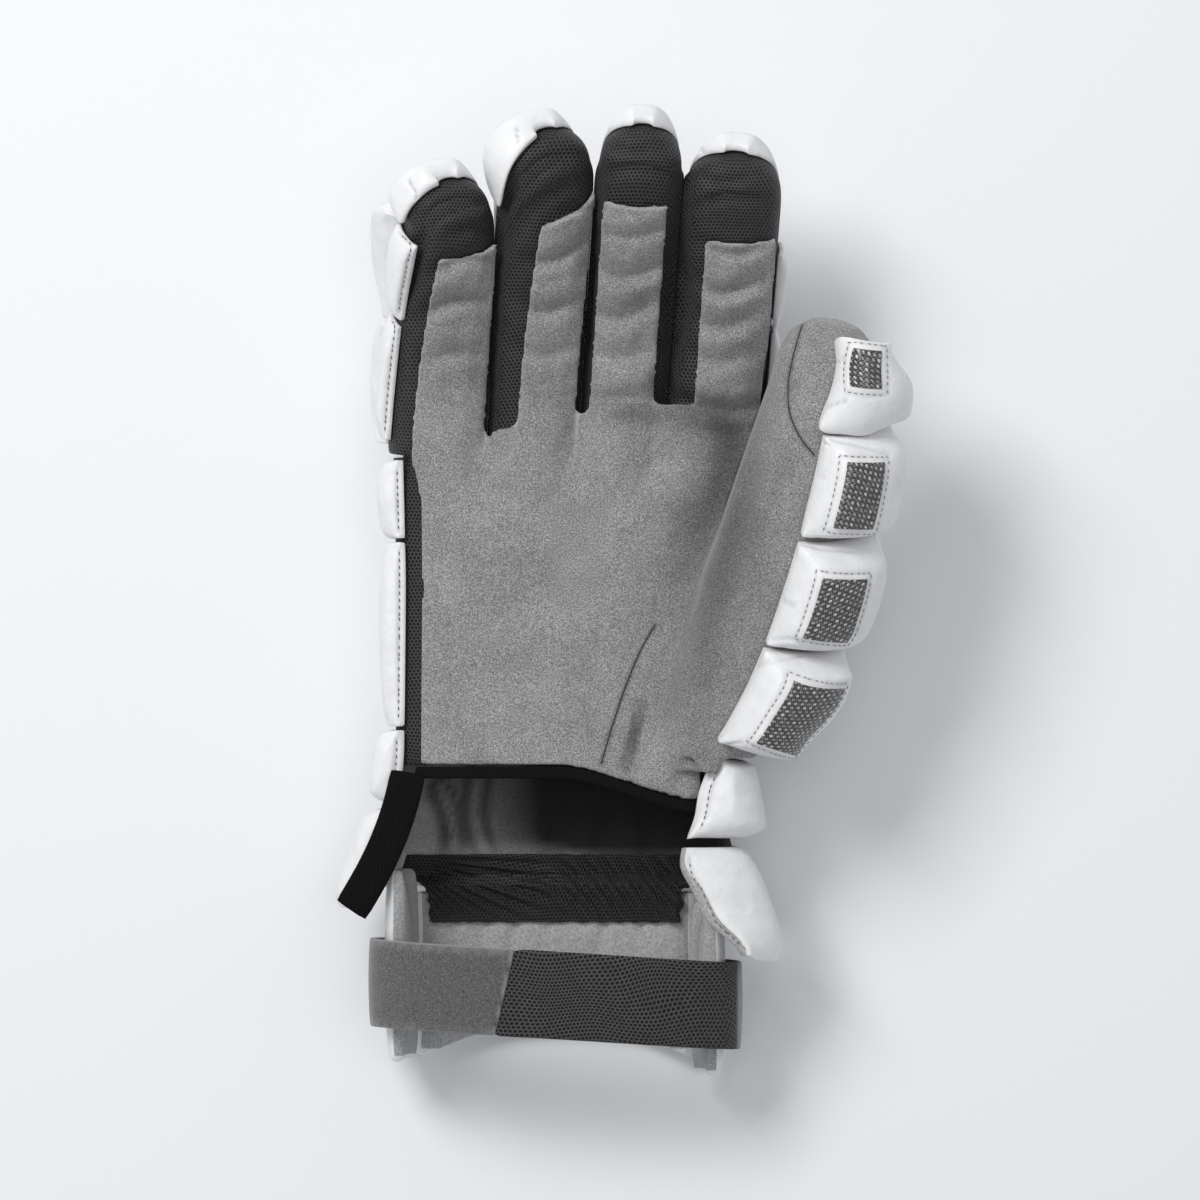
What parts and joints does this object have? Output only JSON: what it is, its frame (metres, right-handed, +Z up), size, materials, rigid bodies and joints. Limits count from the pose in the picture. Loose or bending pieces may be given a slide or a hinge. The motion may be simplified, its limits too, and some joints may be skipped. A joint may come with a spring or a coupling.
{
  "type": "lacrosse glove",
  "caption": "Padded lacrosse glove for the right hand, palm up: suede palm, mesh fingers, segmented leather rolls and a strapped floating wrist cuff.",
  "frame": {"origin": "centre of the underside of the part's bounding box, on the surface that the glove lies on", "axes": "+Y from the wrist to the fingertips, +Z up through the palm, +X towards the thumb"},
  "size_m": [0.198, 0.3312, 0.1025],
  "materials": {
    "suede": "grey brushed suede, matt",
    "mesh": "black knitted mesh, matt",
    "leather": "smooth white synthetic leather, satin",
    "lining": "light grey brushed lining",
    "webbing": "grey loop fabric",
    "strap_mesh": "dark grey woven mesh",
    "binding": "black woven tape",
    "weave": "grey twill weave under a clear coat"
  },
  "bodies": {
    "root": {"palm": "suede", "thumb_panel": "suede", "thumb_side": "suede", "mesh_pinky": "mesh", "mesh_ring": "mesh", "mesh_middle": "mesh", "mesh_index": "mesh", "side_mesh": "mesh", "wrist_mesh": "mesh", "back_liner": "lining", "palm_hem": "binding", "pull_tag": "binding", "cuff_back": "leather", "cuff_wing_pinky": "leather", "cuff_wing_thumb": "leather", "strap_tab": "webbing", "strap_mesh": "strap_mesh", "roll_pinky_base": "leather", "roll_pinky_middle": "leather", "roll_pinky_tip": "leather", "roll_ring_base": "leather", "roll_ring_middle": "leather", "roll_ring_tip": "leather", "roll_middle_base": "leather", "roll_middle_middle": "leather", "roll_middle_tip": "leather", "roll_index_base": "leather", "roll_index_middle": "leather", "roll_index_tip": "leather", "pinky_side_tip": "leather", "pinky_side_base": "leather", "index_side_base": "leather", "index_side_middle": "leather", "thumb_pad_1": "leather", "thumb_pad_2": "leather", "thumb_pad_3": "leather", "thumb_pad_4": "leather", "thumb_rear_2": "leather", "thumb_rear_3": "leather", "thumb_rear_4": "leather", "thumb_insert_1": "weave", "thumb_insert_2": "weave", "thumb_insert_3": "weave", "thumb_insert_4": "weave", "hand_side_upper": "leather", "hand_side_lower": "leather", "wrist_side": "leather", "flare_pinky": "leather", "knuckle_pinky": "leather", "knuckle_ring": "leather", "knuckle_middle": "leather", "knuckle_index": "leather", "hand_back_1": "leather", "hand_back_2": "leather", "hand_back_3": "leather", "wrist_back": "leather", "flare_back": "leather", "wrist_thumb": "leather", "flare_thumb": "leather"}
  },
  "joints": []
}
